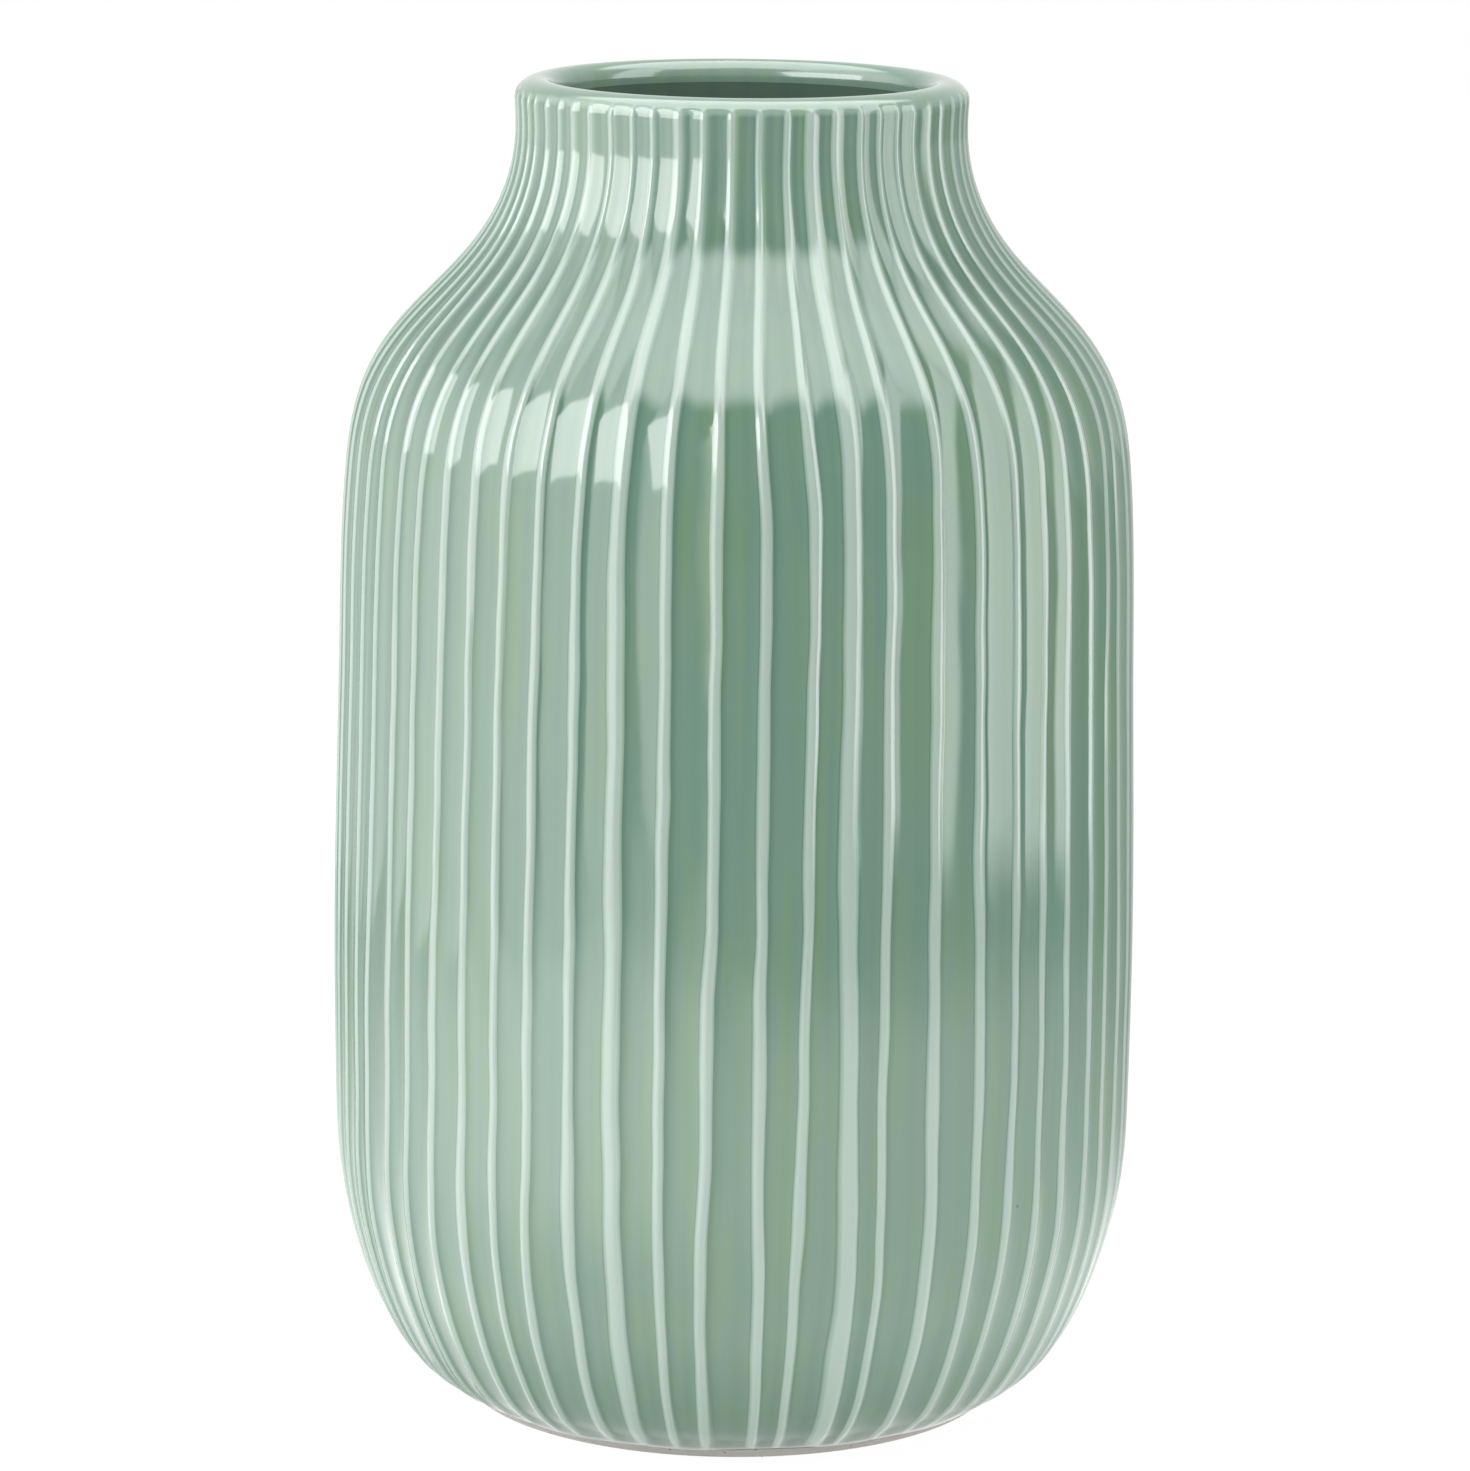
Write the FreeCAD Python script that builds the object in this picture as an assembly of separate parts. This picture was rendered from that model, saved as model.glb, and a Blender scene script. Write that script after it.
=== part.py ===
import FreeCAD, Part
import math
import os

# A fluted celadon vase, upright on the plane z = 0, with its axis on z.
# The clay body carries three coats of glaze: outside, inside and under the base.
# The front faces -y and has bearing 0. Bearings grow towards +x.

# Outline of the glazed wall over its ridges
height = 250.0
foot_radius = 50.7
bare_band_width = 2.5
bare_band_height = 1.8
belly_radius = 75.8
belly_height = 85.0
shoulder_taper = 2.3
shoulder_drop = 72.5
neck_radius = 41.9
neck_drop = 9.0
lip_flare = 0.2
lip_drop = 3.6
crown_inset = 4.2

# Places on the outline as (share of the climb, share of the change in radius)
heel_shares = ((0.07, 0.345), (0.145, 0.544), (0.235, 0.703), (0.34, 0.834), (0.49, 0.951), (0.70, 0.991))
wall_shares = ((0.32, 0.17), (0.65, 0.48))
shoulder_shares = ((0.157, 0.044), (0.294, 0.141), (0.431, 0.326), (0.569, 0.592), (0.706, 0.82), (0.863, 0.962))

# Inside, measured on the glaze
wall = 7.4
floor_height = 14.0
floor_round = 22.0
inside_shoulder_share = 0.20
inside_shoulder_round = 32.0
inside_neck_share = 0.75
inside_neck_round = 40.0
mouth_round = 2.9

# Recess under the base, which leaves the foot ring
foot_ring_width = 7.2
foot_bevel = 1.0
recess_height = 6.5
recess_round = 2.5

# Glaze: thin where it breaks over a ridge, thick where it pools in a flute
coat_on_ridge = 0.25
coat_in_flute = 0.6
coat_on_plain = 0.45
coat_under_base = 0.35
base_coat_stop = 2.4

# Flutes, carved by hand one beside the other
flute_count = 60
ridge_rise = 0.42
hollow_depth = 0.32
top_band = 1.3
top_runout = 1.6
foot_band = 2.1
foot_runout = 3.4
neck_depth_share = 0.6

# Half the width of a raised ridge, in flute widths
land_share = 0.13
wide_land_shares = {-2: 0.19, 3: 0.24}

# Sideways drift of each ridge off its even place, in flute widths, at these shares of the height.
# The rows go round the seen side from the left, and the first is this many flutes left of the front.
drift_height_shares = (0.93, 0.81, 0.70, 0.48, 0.30, 0.12)
first_seen_ridge = -12
drift_shares = (
    (-0.30, -0.30, -0.15, -0.20, -0.25, -0.40),
    (-0.45, -0.27, -0.25, -0.28, -0.34, -0.45),
    (-0.70, -0.57, -0.43, -0.47, -0.68, -0.80),
    (-0.67, -0.52, -0.45, -0.48, -0.58, -0.70),
    (-0.70, -0.53, -0.60, -0.66, -0.72, -0.90),
    (-0.77, -0.72, -0.60, -0.66, -0.76, -0.95),
    (-0.80, -0.80, -0.66, -0.71, -0.76, -0.85),
    (-0.67, -0.70, -0.75, -0.80, -0.82, -0.88),
    (-0.65, -0.80, -0.78, -0.85, -0.90, -1.05),
    (-0.72, -0.70, -0.78, -0.80, -0.82, -0.80),
    (-0.60, -0.72, -0.78, -0.75, -0.76, -0.70),
    (-0.58, -0.58, -0.62, -0.62, -0.66, -0.65),
    (-0.38, -0.45, -0.46, -0.46, -0.57, -0.73),
    (-0.25, -0.46, -0.30, -0.33, -0.36, -0.27),
    (-0.10, -0.32, -0.15, -0.25, -0.38, -0.52),
    (-0.08, -0.25, -0.30, -0.37, -0.22, -0.15),
    (-0.03, -0.30, -0.38, -0.43, -0.52, -0.50),
    (0.15, 0.05, -0.13, -0.18, -0.19, -0.18),
    (0.07, 0.09, 0.04, 0.03, 0.11, 0.06),
    (0.02, 0.28, 0.16, 0.18, 0.16, 0.02),
    (0.00, 0.32, 0.15, 0.07, 0.06, 0.10),
    (0.10, 0.22, 0.07, 0.02, 0.03, 0.07),
    (0.05, 0.16, 0.14, 0.12, 0.16, 0.15),
    (0.20, 0.38, 0.10, 0.00, -0.02, 0.10),
    (0.20, 0.20, -0.18, -0.13, 0.03, -0.08),
    (0.15, 0.10, -0.05, -0.05, 0.00, 0.00),
)
back_wander_share = 0.14

# Where the wall is measured up its length, closer where it bends or where flutes run out
station_shares = (
    0.0, 0.009, 0.02, 0.045, 0.075, 0.11, 0.16, 0.23, 0.31, 0.39, 0.47, 0.55,
    0.62, 0.67, 0.71, 0.745, 0.78, 0.82, 0.86, 0.90, 0.935, 0.965, 0.985,
)
lip_station_count = 6
flank_steps = 2
hollow_steps = 3

glaze_line_radius = foot_radius + bare_band_width
shoulder_radius = belly_radius - shoulder_taper
shoulder_height = height - shoulder_drop
neck_height = height - neck_drop
lip_radius = neck_radius + lip_flare
crown_radius = lip_radius - crown_inset
mouth_radius = neck_radius - wall
recess_radius = foot_radius - foot_ring_width - foot_bevel


def mix(a, b, share):
    """The value that lies this share of the way from a to b."""
    return a + (b - a) * share


def smooth_step(low, high, value):
    """0 below low, 1 above high, and an even S between them."""
    share = min(1.0, max(0.0, (value - low) / (high - low)))
    return share * share * (3 - 2 * share)


def at(radius, z):
    """A point of an outline, drawn in the plane y = 0."""
    return FreeCAD.Vector(radius, 0, z)


def wall_curve():
    """The outline over the ridges, from the glaze line up to the widest ring of the lip."""
    stretches = (
        ((glaze_line_radius, bare_band_height), (belly_radius, belly_height), heel_shares),
        ((belly_radius, belly_height), (shoulder_radius, shoulder_height), wall_shares),
        ((shoulder_radius, shoulder_height), (neck_radius, neck_height), shoulder_shares),
    )
    points = []
    for (low_r, low_z), (high_r, high_z), shares in stretches:
        points.append(at(low_r, low_z))
        for climb, change in shares:
            points.append(at(mix(low_r, high_r, change), mix(low_z, high_z, climb)))
    points.append(at(neck_radius, neck_height))
    points.append(at(lip_radius, height - lip_drop))
    curve = Part.BSplineCurve()
    curve.interpolate(points)
    return curve


def wall_station(curve, share):
    """A place up the wall: its radius and z, and its outward normal's radius and z."""
    spot = curve.parameterAtDistance(curve.length() * share, curve.FirstParameter)
    here = curve.value(spot)
    along = curve.tangent(spot)[0]
    return here.x, here.z, along.z, -along.x


def lip_station(turn):
    """A place on the lip's outer rounding, a quarter of an ellipse that ends at the crown."""
    across = lip_radius - crown_radius
    normal_r = lip_drop * math.cos(turn)
    normal_z = across * math.sin(turn)
    size = math.hypot(normal_r, normal_z)
    radius = crown_radius + across * math.cos(turn)
    z = height - lip_drop + lip_drop * math.sin(turn)
    return radius, z, normal_r / size, normal_z / size


def outline_stations():
    """All places up the outside, from the glaze line to the crown."""
    curve = wall_curve()
    stations = [wall_station(curve, share) for share in station_shares]
    for i in range(lip_station_count + 1):
        stations.append(lip_station(math.pi / 2 * i / lip_station_count))
    return stations


def carved_share(z):
    """1 where the flutes have their whole depth, 0 on the plain bands at lip and foot."""
    from_top = smooth_step(top_band, top_band + top_runout, height - z)
    from_foot = smooth_step(foot_band, foot_band + foot_runout, z)
    return from_top * from_foot


def depth_share(radius):
    """Flutes are shallower on the narrow neck than on the belly."""
    share = (radius - neck_radius) / (belly_radius - neck_radius)
    return mix(neck_depth_share, 1.0, min(1.0, max(0.0, share)))


def drift_at(row, z):
    """A ridge's drift at a height, on a smooth line through its noted places."""
    places = [share * height for share in drift_height_shares]
    if z >= places[0]:
        return row[0]
    for i in range(len(places) - 1):
        if z >= places[i + 1]:
            return mix(row[i + 1], row[i], smooth_step(places[i + 1], places[i], z))
    return row[-1]


def ridge_place(ridge, z):
    """Where a ridge stands, in flute widths from the front. The unseen ones wander by a rule."""
    last_seen_ridge = first_seen_ridge + len(drift_shares) - 1
    if ridge <= last_seen_ridge:
        return ridge + drift_at(drift_shares[ridge - first_seen_ridge], z)
    behind = (ridge - last_seen_ridge) / (first_seen_ridge + flute_count - last_seen_ridge)
    joining = mix(drift_at(drift_shares[-1], z), drift_at(drift_shares[0], z), behind)
    waver = math.sin(2.4 * ridge) + 0.6 * math.sin(2 * math.pi * z / height + 1.7 * ridge)
    return ridge + joining + back_wander_share * waver * math.sin(math.pi * behind)


def flute_section(near_land, far_land):
    """Places across one flute as (share of its width, share of the ridge's rise, share of the hollow).

    A ridge falls off in an even S on both sides. Between two ridges lies a shallow hollow.
    """
    section = []
    for i in range(flank_steps):
        down = i / flank_steps
        section.append((near_land * down, smooth_step(0, 1, down), 0.0))
    for i in range(hollow_steps + 1):
        across = i / hollow_steps
        section.append((mix(near_land, 1 - far_land, across), 1.0, 4 * across * (1 - across)))
    for i in range(1, flank_steps):
        up = i / flank_steps
        section.append((1 - far_land * (1 - up), 1 - smooth_step(0, 1, up), 0.0))
    return section


def ring_points(station, is_clay):
    """Points round the wall at one station, along the section of each flute in turn."""
    radius, z, normal_r, normal_z = station
    carved = carved_share(z)
    rise = ridge_rise * depth_share(radius) * carved
    hollow = hollow_depth * depth_share(radius) * carved
    coat = 0.0
    if is_clay:
        coat = mix(coat_on_plain, coat_on_ridge, carved)
        rise += (coat_in_flute - coat_on_ridge) * carved
    ridges = [ridge_place(first_seen_ridge + i, z) for i in range(flute_count)]
    ridges.append(ridges[0] + flute_count)
    points = []
    for i in range(flute_count):
        near_land = wide_land_shares.get(first_seen_ridge + i, land_share)
        far_land = wide_land_shares.get(first_seen_ridge + i + 1, land_share)
        for across, fallen, hollowed in flute_section(near_land, far_land):
            bearing = 2 * math.pi / flute_count * mix(ridges[i], ridges[i + 1], across)
            inset = coat + rise * fallen + hollow * hollowed
            r = radius - inset * normal_r
            points.append(FreeCAD.Vector(r * math.sin(bearing), -r * math.cos(bearing), z - inset * normal_z))
    return points


def wall_places(stations):
    """How far up the wall each station lies, which spaces the curves that run through them."""
    places = [0.0]
    for below, above in zip(stations, stations[1:]):
        places.append(places[-1] + math.hypot(above[0] - below[0], above[1] - below[1]))
    return places


def wall_columns(is_clay):
    """The curves that run up the wall along the ridges, flanks and hollows, in turn round it."""
    stations = outline_stations()
    rings = [ring_points(station, is_clay) for station in stations]
    places = wall_places(stations)
    columns = []
    for points in zip(*rings):
        curve = Part.BSplineCurve()
        curve.interpolate(Points=list(points), Parameters=places)
        columns.append(curve)
    return columns


def in_pairs(items):
    """Each item with the next one round the wall."""
    return zip(items, items[1:] + items[:1])


def wall_faces(columns):
    """The carved wall: a narrow face, straight across, between each two curves."""
    faces = []
    for left, right in in_pairs(columns):
        surface = Part.BSplineSurface()
        surface.buildFromPolesMultsKnots(
            [left.getPoles(), right.getPoles()], [2, 2], left.getMultiplicities(),
            [0, 1], left.getKnots(), False, False, 1, 3,
        )
        faces.append(surface.toShape())
    return faces


def end_ring(columns, end):
    """The points round one end of the wall: 0 at the glaze line, -1 at the crown."""
    return [curve.getPoles()[end] for curve in columns]


def foot_ring():
    """The points round the outer edge of the rest face."""
    return ring_points((foot_radius, 0.0, 1.0, 0.0), False)


def faces_between(low_ring, high_ring):
    """Straight faces that join two rings of points."""
    faces = []
    for (low, next_low), (high, next_high) in zip(in_pairs(low_ring), in_pairs(high_ring)):
        surface = Part.BSplineSurface()
        surface.buildFromPolesMultsKnots(
            [[low, high], [next_low, next_high]], [2, 2], [2, 2], [0, 1], [0, 1], False, False, 1, 1
        )
        faces.append(surface.toShape())
    return faces


def flat_ring(ring, inner_radius, z):
    """A flat face from a ring of points in to a circle."""
    outer = Part.makePolygon(ring + ring[:1])
    circle = Part.makeCircle(inner_radius, FreeCAD.Vector(0, 0, z))
    return Part.makeFace([outer, Part.Wire(circle)], "Part::FaceMakerBullseye")


def turn_at(before, corner, after):
    """How an outline turns at a corner: the directions in and out, and the angle, positive to the left."""
    going = (corner - before).normalize()
    leaving = (after - corner).normalize()
    return going, leaving, math.atan2(going.x * leaving.z - going.z * leaving.x, going.dot(leaving))


def right_of(direction):
    return at(direction.z, -direction.x)


def beside(corners, gap):
    """The outline that runs this gap to the right of another, with its rounds kept concentric."""
    moved = []
    for i, (spot, rounding) in enumerate(corners):
        before = corners[max(i - 1, 0)][0]
        after = corners[min(i + 1, len(corners) - 1)][0]
        if i == 0:
            moved.append((spot + right_of((after - spot).normalize()) * gap, 0))
        elif i == len(corners) - 1:
            moved.append((spot + right_of((spot - before).normalize()) * gap, 0))
        else:
            going, leaving, turn = turn_at(before, spot, after)
            aside = (right_of(going) + right_of(leaving)) * (gap / (1 + math.cos(turn)))
            grown = rounding + math.copysign(gap, turn) if rounding else 0
            moved.append((spot + aside, grown))
    return moved


def rounded(corners):
    """The edges of an outline of straight runs, with an arc at each corner that has a radius."""
    edges = []
    start = corners[0][0]
    for i in range(1, len(corners)):
        spot, rounding = corners[i]
        if not rounding:
            edges.append(Part.makeLine(start, spot))
            start = spot
            continue
        going, leaving, turn = turn_at(corners[i - 1][0], spot, corners[i + 1][0])
        cut = rounding * math.tan(abs(turn) / 2)
        arc_start = spot - going * cut
        arc_end = spot + leaving * cut
        inward = (leaving - going).normalize()
        middle = spot + inward * (rounding / math.cos(turn / 2) - rounding)
        edges.append(Part.makeLine(start, arc_start))
        edges.append(Part.Arc(arc_start, middle, arc_end).toShape())
        start = arc_end
    return edges


def turned(edges):
    """The faces that an outline's edges sweep in one turn about the axis."""
    return [edge.revolve(FreeCAD.Vector(0, 0, 0), FreeCAD.Vector(0, 0, 1), 360) for edge in edges]


def turned_coat(corners, gap):
    """A coat of this thickness on the right of an outline, turned about the axis."""
    other = beside(corners, gap)
    edges = rounded(corners) + rounded(other)
    edges.append(Part.makeLine(corners[0][0], other[0][0]))
    edges.append(Part.makeLine(corners[-1][0], other[-1][0]))
    face = Part.Face(Part.Wire(Part.__sortEdges__(edges)))
    return face.revolve(FreeCAD.Vector(0, 0, 0), FreeCAD.Vector(0, 0, 1), 360)


def closed_solid(faces):
    """One solid inside these faces."""
    return Part.Solid(Part.makeShell(faces))


def inside_corners():
    """The glazed inside from the middle of the floor out, up the wall and over to the crown."""
    inside_shoulder = mix(shoulder_height, neck_height, inside_shoulder_share)
    inside_neck = mix(shoulder_height, neck_height, inside_neck_share)
    return [
        (at(0, floor_height), 0),
        (at(belly_radius - wall, floor_height), floor_round),
        (at(shoulder_radius - wall, inside_shoulder), inside_shoulder_round),
        (at(mouth_radius, inside_neck), inside_neck_round),
        (at(mouth_radius, height), mouth_round),
        (at(crown_radius, height), 0),
    ]


def recess_corners(stop_z):
    """The bare clay of the recess from the middle of its ceiling out and down to a height."""
    return [
        (at(0, recess_height), 0),
        (at(recess_radius, recess_height), recess_round),
        (at(recess_radius, stop_z), 0),
    ]


def stoneware_body():
    """The thrown and carved clay: fluted wall, plain lip, floor and bare foot ring."""
    columns = wall_columns(True)
    foot = end_ring(columns, 0)
    faces = wall_faces(columns)
    faces += faces_between(foot_ring(), foot)
    faces.append(flat_ring(foot_ring(), recess_radius + foot_bevel, 0))
    faces.append(flat_ring(end_ring(columns, -1), mouth_radius + mouth_round, height - coat_on_plain))
    faces += turned(rounded(beside(inside_corners(), coat_on_plain))[:-1])
    foot_edge = (at(recess_radius + foot_bevel, 0), 0)
    faces += turned(rounded(recess_corners(foot_bevel) + [foot_edge]))
    return closed_solid(faces)


def outer_glaze():
    """The coat over the outside, from the middle of the crown down to the glaze line."""
    under = wall_columns(True)
    over = wall_columns(False)
    faces = wall_faces(under) + wall_faces(over)
    for end in (0, -1):
        faces += faces_between(end_ring(under, end), end_ring(over, end))
    return closed_solid(faces)


def inner_glaze():
    """The lining, from the middle of the crown down over the floor."""
    return turned_coat(inside_corners(), coat_on_plain)


def base_glaze():
    """The coat in the recess, which stops short of the wiped foot ring."""
    return turned_coat(recess_corners(base_coat_stop), coat_under_base)


def main():
    os.makedirs("parts", exist_ok=True)
    for build in (stoneware_body, outer_glaze, inner_glaze, base_glaze):
        solid = build()
        solid.exportStep(f"parts/{build.__name__}.step")
        box = solid.optimalBoundingBox()
        print(
            build.__name__, solid.isValid(), len(solid.Solids), len(solid.Faces),
            f"z {box.ZMin:.3f} to {box.ZMax:.3f}, x {box.XMin:.2f} to {box.XMax:.2f}",
        )


main()
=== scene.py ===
# %% [markdown]
# # A fluted celadon vase
#
# The object is one piece of stoneware. A potter threw a tall barrel with a rounded shoulder and a
# short wide neck, then carved sixty upright flutes into the leather-hard clay with a loop tool, one
# beside the other and by eye. A celadon glaze covers it. It is thin and pale where it breaks over a
# ridge, and thick and green where it pools in a flute.
#
# The measured model gives the sizes and the pieces. This script dresses it: a finer fluted wall,
# a lining with throwing marks, glazes and clay that have their real colours, and a plain studio.
#
# The first cell loads the measured model. Everything below is in metres, in the same frame:
# the foot rests on z = 0, the axis is z, and the photographed side faces -y.

# %% Load the measured model
import math
from functools import partial

import bmesh
import bpy
import numpy as np
from mathutils import Matrix, Vector


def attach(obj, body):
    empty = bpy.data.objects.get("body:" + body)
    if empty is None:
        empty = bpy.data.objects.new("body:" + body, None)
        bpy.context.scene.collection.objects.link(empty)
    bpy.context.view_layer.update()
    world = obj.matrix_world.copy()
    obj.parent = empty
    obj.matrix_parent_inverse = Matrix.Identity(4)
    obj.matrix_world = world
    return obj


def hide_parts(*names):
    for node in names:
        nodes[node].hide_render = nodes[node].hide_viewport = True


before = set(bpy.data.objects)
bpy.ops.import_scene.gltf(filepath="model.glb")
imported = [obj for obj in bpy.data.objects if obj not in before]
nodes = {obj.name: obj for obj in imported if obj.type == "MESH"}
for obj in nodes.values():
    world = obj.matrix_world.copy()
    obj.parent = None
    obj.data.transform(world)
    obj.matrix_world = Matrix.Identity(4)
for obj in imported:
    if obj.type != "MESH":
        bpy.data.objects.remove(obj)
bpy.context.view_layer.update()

# %% [markdown]
# ## The outline of the wall
#
# Seen from the side, the vase is a barrel: it swells quickly from a narrow foot, stays almost
# straight, turns over at the shoulder and comes in to the neck. It could be drawn as a Bezier curve
# by eye. Here it is one smooth curve through a few measured places, the same ones that the solid
# uses, so that the dressed wall lies on the solid everywhere.
#
# The curve is a natural cubic spline: it bends as evenly as a thin batten held at those places.

# %% Places on the outline and the curve through them
mm = 0.001
height, foot_radius = 250 * mm, 50.7 * mm
bare_band_width, bare_band_height = 2.5 * mm, 1.8 * mm
belly_radius, belly_height = 75.8 * mm, 85 * mm
shoulder_radius, shoulder_height = 73.5 * mm, 177.5 * mm
neck_radius, neck_height = 41.9 * mm, 241 * mm
lip_radius, lip_drop, crown_radius = 42.1 * mm, 3.6 * mm, 37.9 * mm
wall, coat = 7.4 * mm, 0.45 * mm
mouth_radius, mouth_round = neck_radius - wall, 2.9 * mm
mouth_seam_z = height - mouth_round - 1.2 * mm

heel_shares = (
    (0.07, 0.345), (0.145, 0.544), (0.235, 0.703), (0.34, 0.834), (0.49, 0.951), (0.70, 0.991),
)
wall_shares = ((0.32, 0.17), (0.65, 0.48))
shoulder_shares = (
    (0.157, 0.044), (0.294, 0.141), (0.431, 0.326), (0.569, 0.592), (0.706, 0.82), (0.863, 0.962),
)


def mix(a, b, share):
    return a + (b - a) * share


def stretch(low, high, shares):
    """The low end of a stretch, and places along it as shares of its climb and of its width."""
    return [low] + [(mix(low[0], high[0], w), mix(low[1], high[1], c)) for c, w in shares]


glaze_line = (foot_radius + bare_band_width, bare_band_height)
belly, shoulder = (belly_radius, belly_height), (shoulder_radius, shoulder_height)
neck, lip = (neck_radius, neck_height), (lip_radius, height - lip_drop)
outline_places = np.array(
    stretch(glaze_line, belly, heel_shares) + stretch(belly, shoulder, wall_shares)
    + stretch(shoulder, neck, shoulder_shares) + [neck, lip]
)


def batten(places):
    """A natural cubic spline through places. Returns a function of the length along their chords."""
    steps = np.linalg.norm(np.diff(places, axis=0), axis=1)
    marks = np.concatenate([[0.0], np.cumsum(steps)])
    count = len(places)
    rows = np.eye(count)
    pull = np.zeros_like(places)
    for i in range(1, count - 1):
        rows[i, i - 1:i + 2] = steps[i - 1], 2 * (steps[i - 1] + steps[i]), steps[i]
        slopes = (places[i + 1] - places[i]) / steps[i] - (places[i] - places[i - 1]) / steps[i - 1]
        pull[i] = 6 * slopes
    bend = np.linalg.solve(rows, pull)

    def at(mark):
        i = min(max(int(np.searchsorted(marks, mark)) - 1, 0), count - 2)
        h = steps[i]
        a, b = (marks[i + 1] - mark) / h, (mark - marks[i]) / h
        cubic = (a ** 3 - a) * bend[i] + (b ** 3 - b) * bend[i + 1]
        return a * places[i] + b * places[i + 1] + cubic * h * h / 6

    return at, marks[-1]


outline, outline_length = batten(outline_places)
print("outline length", round(outline_length, 4))

# %% [markdown]
# ## Rows up the wall
#
# The wall becomes a sheet of rows and columns. Each row is a ring at one place on the outline, with
# its radius, height and the direction that points straight out of the wall. Rows stand close where
# the wall bends or where the flutes run out, and wide apart on the almost straight belly, because
# that spends faces where the eye looks for smoothness.
#
# Above the outline the sheet goes on over the lip: a quarter of an ellipse up to the crown, the
# flat crown, and a quarter round down into the mouth. So the glaze rolls over the lip unbroken.

# %% Rows from the foot up, over the lip and into the mouth
row_gaps = ((7 * mm, 0.8 * mm), (60 * mm, 2.3 * mm), (160 * mm, 4.0 * mm), (238 * mm, 2.2 * mm))
lip_row_gap, shortest_gap = 1.3 * mm, 0.6 * mm
lip_turns, mouth_turns = range(0, 91, 10), range(90, -1, -15)


def outline_row(mark):
    """Radius, height and outward direction at a mark on the outline."""
    step = 0.02 * mm
    spot = outline(mark)
    ahead, behind = outline(min(mark + step, outline_length)), outline(max(mark - step, 0))
    along = (ahead - behind) / np.linalg.norm(ahead - behind)
    return [*spot, along[1], -along[0]]


def row_gap(z):
    """How far the next row is from one at this height."""
    return next((gap for below, gap in row_gaps if z < below), lip_row_gap)


def arc_rows(centre, across, up, turns):
    """Rows on a quarter round about a centre, at these turns in degrees from level outwards."""
    rows = []
    for turn in turns:
        c, s = math.cos(math.radians(turn)), math.sin(math.radians(turn))
        out_r, out_z = c * abs(up), s * abs(across)
        size = math.hypot(out_r, out_z)
        outward = [out_r / size * np.sign(across), out_z / size]
        rows.append([centre[0] + across * c, centre[1] + up * s, *outward])
    return rows


rows = []
mark = 0.0
while mark < outline_length - shortest_gap:
    rows.append(outline_row(mark))
    mark += row_gap(rows[-1][1])
outer_centre = (crown_radius, height - lip_drop)
inner_centre = (mouth_radius + mouth_round, height - mouth_round)
rows += arc_rows(outer_centre, lip_radius - crown_radius, lip_drop, lip_turns)
inner_round = arc_rows(inner_centre, -mouth_round, mouth_round, mouth_turns)
rows += inner_round
rows.append([mouth_radius, mouth_seam_z, -1, 0])
rows = np.array(rows)
print("rows:", len(rows))

# %% [markdown]
# ## Ridges that wander
#
# Between two flutes stands a soft ridge. They were carved by hand, so no ridge is straight: each
# drifts a little to the left or right on its way up, and some are wider than others. Even spacing
# would look moulded, so the drift of each ridge that the photograph shows was read at six heights,
# in flute widths. The ridges at the back can't be seen, and wander by a rule.

# %% The drift of each ridge, in flute widths from its even place
flute_count = 60
first_seen_ridge = -12
drift_height_shares = (0.93, 0.81, 0.70, 0.48, 0.30, 0.12)
drift_shares = (
    (-0.30, -0.30, -0.15, -0.20, -0.25, -0.40),
    (-0.45, -0.27, -0.25, -0.28, -0.34, -0.45),
    (-0.70, -0.57, -0.43, -0.47, -0.68, -0.80),
    (-0.67, -0.52, -0.45, -0.48, -0.58, -0.70),
    (-0.70, -0.53, -0.60, -0.66, -0.72, -0.90),
    (-0.77, -0.72, -0.60, -0.66, -0.76, -0.95),
    (-0.80, -0.80, -0.66, -0.71, -0.76, -0.85),
    (-0.67, -0.70, -0.75, -0.80, -0.82, -0.88),
    (-0.65, -0.80, -0.78, -0.85, -0.90, -1.05),
    (-0.72, -0.70, -0.78, -0.80, -0.82, -0.80),
    (-0.60, -0.72, -0.78, -0.75, -0.76, -0.70),
    (-0.58, -0.58, -0.62, -0.62, -0.66, -0.65),
    (-0.38, -0.45, -0.46, -0.46, -0.57, -0.73),
    (-0.25, -0.46, -0.30, -0.33, -0.36, -0.27),
    (-0.10, -0.32, -0.15, -0.25, -0.38, -0.52),
    (-0.08, -0.25, -0.30, -0.37, -0.22, -0.15),
    (-0.03, -0.30, -0.38, -0.43, -0.52, -0.50),
    (0.15, 0.05, -0.13, -0.18, -0.19, -0.18),
    (0.07, 0.09, 0.04, 0.03, 0.11, 0.06),
    (0.02, 0.28, 0.16, 0.18, 0.16, 0.02),
    (0.00, 0.32, 0.15, 0.07, 0.06, 0.10),
    (0.10, 0.22, 0.07, 0.02, 0.03, 0.07),
    (0.05, 0.16, 0.14, 0.12, 0.16, 0.15),
    (0.20, 0.38, 0.10, 0.00, -0.02, 0.10),
    (0.20, 0.20, -0.18, -0.13, 0.03, -0.08),
    (0.15, 0.10, -0.05, -0.05, 0.00, 0.00),
)
last_seen_ridge = first_seen_ridge + len(drift_shares) - 1
unseen_waver = 0.14


def smooth_step(low, high, value):
    share = min(1.0, max(0.0, (value - low) / (high - low)))
    return share * share * (3 - 2 * share)


def drift_at(row, z):
    """A ridge's drift at a height, on a smooth line through its noted places."""
    places = [share * height for share in drift_height_shares]
    if z >= places[0]:
        return row[0]
    for i in range(len(places) - 1):
        if z >= places[i + 1]:
            return mix(row[i + 1], row[i], smooth_step(places[i + 1], places[i], z))
    return row[-1]


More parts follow.
